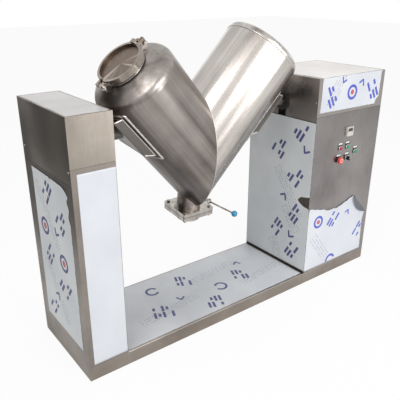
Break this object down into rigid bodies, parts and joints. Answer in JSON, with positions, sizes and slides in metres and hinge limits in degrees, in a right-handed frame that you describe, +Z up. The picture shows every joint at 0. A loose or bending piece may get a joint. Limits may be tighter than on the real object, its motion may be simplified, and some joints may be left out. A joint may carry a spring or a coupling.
{
  "type": "v-blender",
  "caption": "V-shaped tumbling powder mixer: a two-armed drum on trunnions between two cabinets, with clamped loading lid, outlet valve and chain drive.",
  "frame": {"origin": "on the floor under the middle of the base, on the bottom face of the middle cross member", "axes": "+X to the control cabinet's side along the machine's width and the drum's axis, +Y to the back, +Z up"},
  "size_m": [1.8195, 0.4975, 1.3781],
  "materials": {
    "stainless_panel": "brushed stainless sheet",
    "stainless_drum": "satin polished stainless",
    "stainless_bright": "bright polished stainless",
    "steel_frame": "primed steel",
    "zinc_fastener": "zinc plated",
    "cast_housing": "cast and painted",
    "motor_paint": "blue-grey paint",
    "chain_steel": "oiled steel",
    "seal_rubber": "white silicone",
    "gland_rubber": "black rubber",
    "blue_plastic": "gloss moulded",
    "black_plastic": "matt moulded",
    "cream_plastic": "matt moulded",
    "red_plastic": "gloss moulded",
    "green_plastic": "gloss moulded",
    "dark_window": "tinted clear window",
    "white_label": "engraved laminate, bare"
  },
  "bodies": {
    "root": {"base_cross_members": "stainless_panel", "base_rail_front": "stainless_panel", "base_rail_rear": "stainless_panel", "bearing_bolts": "zinc_fastener", "bearing_inserts": "stainless_bright", "cable_gland": "black_plastic", "case_screws": "zinc_fastener", "corner_angles": "steel_frame", "device_bezels": "black_plastic", "device_bodies": "black_plastic", "drive_chain": "chain_steel", "drive_motor": "motor_paint", "drive_stand": "steel_frame", "label_plates": "white_label", "left_back_panel": "stainless_panel", "left_cover": "stainless_panel", "left_front_panel": "stainless_panel", "left_inner_panel": "stainless_panel", "left_outer_panel": "stainless_panel", "pillow_blocks": "cast_housing", "platform_deck": "stainless_panel", "portal_beams": "steel_frame", "portal_posts": "steel_frame", "reducer_housing": "cast_housing", "right_back_panel": "stainless_panel", "right_cover": "stainless_panel", "right_front_panel": "stainless_panel", "right_inner_panel": "stainless_panel", "right_outer_panel": "stainless_panel", "shaft_glands": "gland_rubber", "timer_body": "cream_plastic", "timer_window": "dark_window"},
    "drum": {"vessel_shell": "stainless_drum", "left_trunnion_saddle": "stainless_drum", "right_trunnion_saddle": "stainless_drum", "left_trunnion_shaft": "stainless_drum", "right_trunnion_shaft": "stainless_drum", "drum_sprocket": "chain_steel", "lid_gasket": "seal_rubber", "lid_hinge_pin": "stainless_bright", "valve_body_upper": "stainless_bright", "valve_body_lower": "stainless_bright", "valve_seat": "seal_rubber", "valve_bolts": "zinc_fastener"},
    "lid": {"lid": "stainless_drum"},
    "clamp_front": {"clamp_band_front": "stainless_bright"},
    "clamp_rear": {"clamp_band_rear": "stainless_bright"},
    "clamp_bolt": {"clamp_bolt": "stainless_bright"},
    "wing_nut": {"wing_nut": "stainless_bright"},
    "valve": {"valve_disc": "stainless_bright", "valve_stem": "stainless_bright", "valve_lever": "stainless_bright", "lever_ball": "blue_plastic"},
    "drive": {"drive_shaft": "chain_steel", "drive_sprocket": "chain_steel"},
    "stop_button": {"stop_button": "red_plastic"},
    "start_button": {"start_button": "green_plastic"},
    "jog_button": {"jog_button": "green_plastic"},
    "estop": {"estop_head": "red_plastic"},
    "selector": {"selector_knob": "black_plastic"}
  },
  "joints": [
    {"name": "drum_spin", "type": "hinge", "parent": "root", "child": "drum", "pos_m": [-0.187, 0, 0.978], "axis": [1, 0, 0], "continuous": true},
    {"name": "lid_hinge", "type": "hinge", "parent": "drum", "child": "lid", "pos_m": [-0.45835, -0.03614, 1.32188], "axis": [0, 0.9945, 0.1045], "range_deg": [0, 110]},
    {"name": "clamp_front_open", "type": "hinge", "parent": "lid", "child": "clamp_front", "pos_m": [-0.4842, -0.0367, 1.32721], "axis": [-0.6561, -0.0789, 0.7506], "range_deg": [0, 60]},
    {"name": "clamp_rear_open", "type": "hinge", "parent": "lid", "child": "clamp_rear", "pos_m": [-0.4842, -0.0367, 1.32721], "axis": [-0.6561, -0.0789, 0.7506], "range_deg": [-60, 0]},
    {"name": "clamp_bolt_swing", "type": "hinge", "parent": "clamp_rear", "child": "clamp_bolt", "pos_m": [-0.65422, -0.00308, 1.16814], "axis": [0.6561, 0.0789, -0.7506], "range_deg": [0, 100]},
    {"name": "wing_nut_spin", "type": "hinge", "parent": "clamp_bolt", "child": "wing_nut", "pos_m": [-0.65422, -0.04964, 1.16325], "axis": [0, -0.9945, -0.1045], "continuous": true},
    {"name": "valve_turn", "type": "hinge", "parent": "drum", "child": "valve", "pos_m": [-0.187, 0.04902, 0.51157], "axis": [1, 0, 0], "range_deg": [0, 90]},
    {"name": "drive_spin", "type": "hinge", "parent": "root", "child": "drive", "pos_m": [0.52, 0, 0.262], "axis": [1, 0, 0], "continuous": true},
    {"name": "stop_press", "type": "slide", "parent": "root", "child": "stop_button", "axis": [0, 1, 0], "range_m": [0, 0.0025], "stiffness_N_per_m": 900, "springref_m": -0.001},
    {"name": "start_press", "type": "slide", "parent": "root", "child": "start_button", "axis": [0, 1, 0], "range_m": [0, 0.0025], "stiffness_N_per_m": 900, "springref_m": -0.001},
    {"name": "jog_press", "type": "slide", "parent": "root", "child": "jog_button", "axis": [0, 1, 0], "range_m": [0, 0.0025], "stiffness_N_per_m": 900, "springref_m": -0.001},
    {"name": "estop_press", "type": "slide", "parent": "root", "child": "estop", "axis": [0, 1, 0], "range_m": [0, 0.005]},
    {"name": "selector_turn", "type": "hinge", "parent": "root", "child": "selector", "pos_m": [0.649, -0.237, 0.68], "axis": [0, 1, 0], "range_deg": [-45, 45]}
  ],
  "couplings": [
    {"joint": "drive_spin", "follows": "drum_spin", "ratio": 2.3529},
    {"joint": "clamp_rear_open", "follows": "clamp_front_open", "ratio": -1}
  ]
}
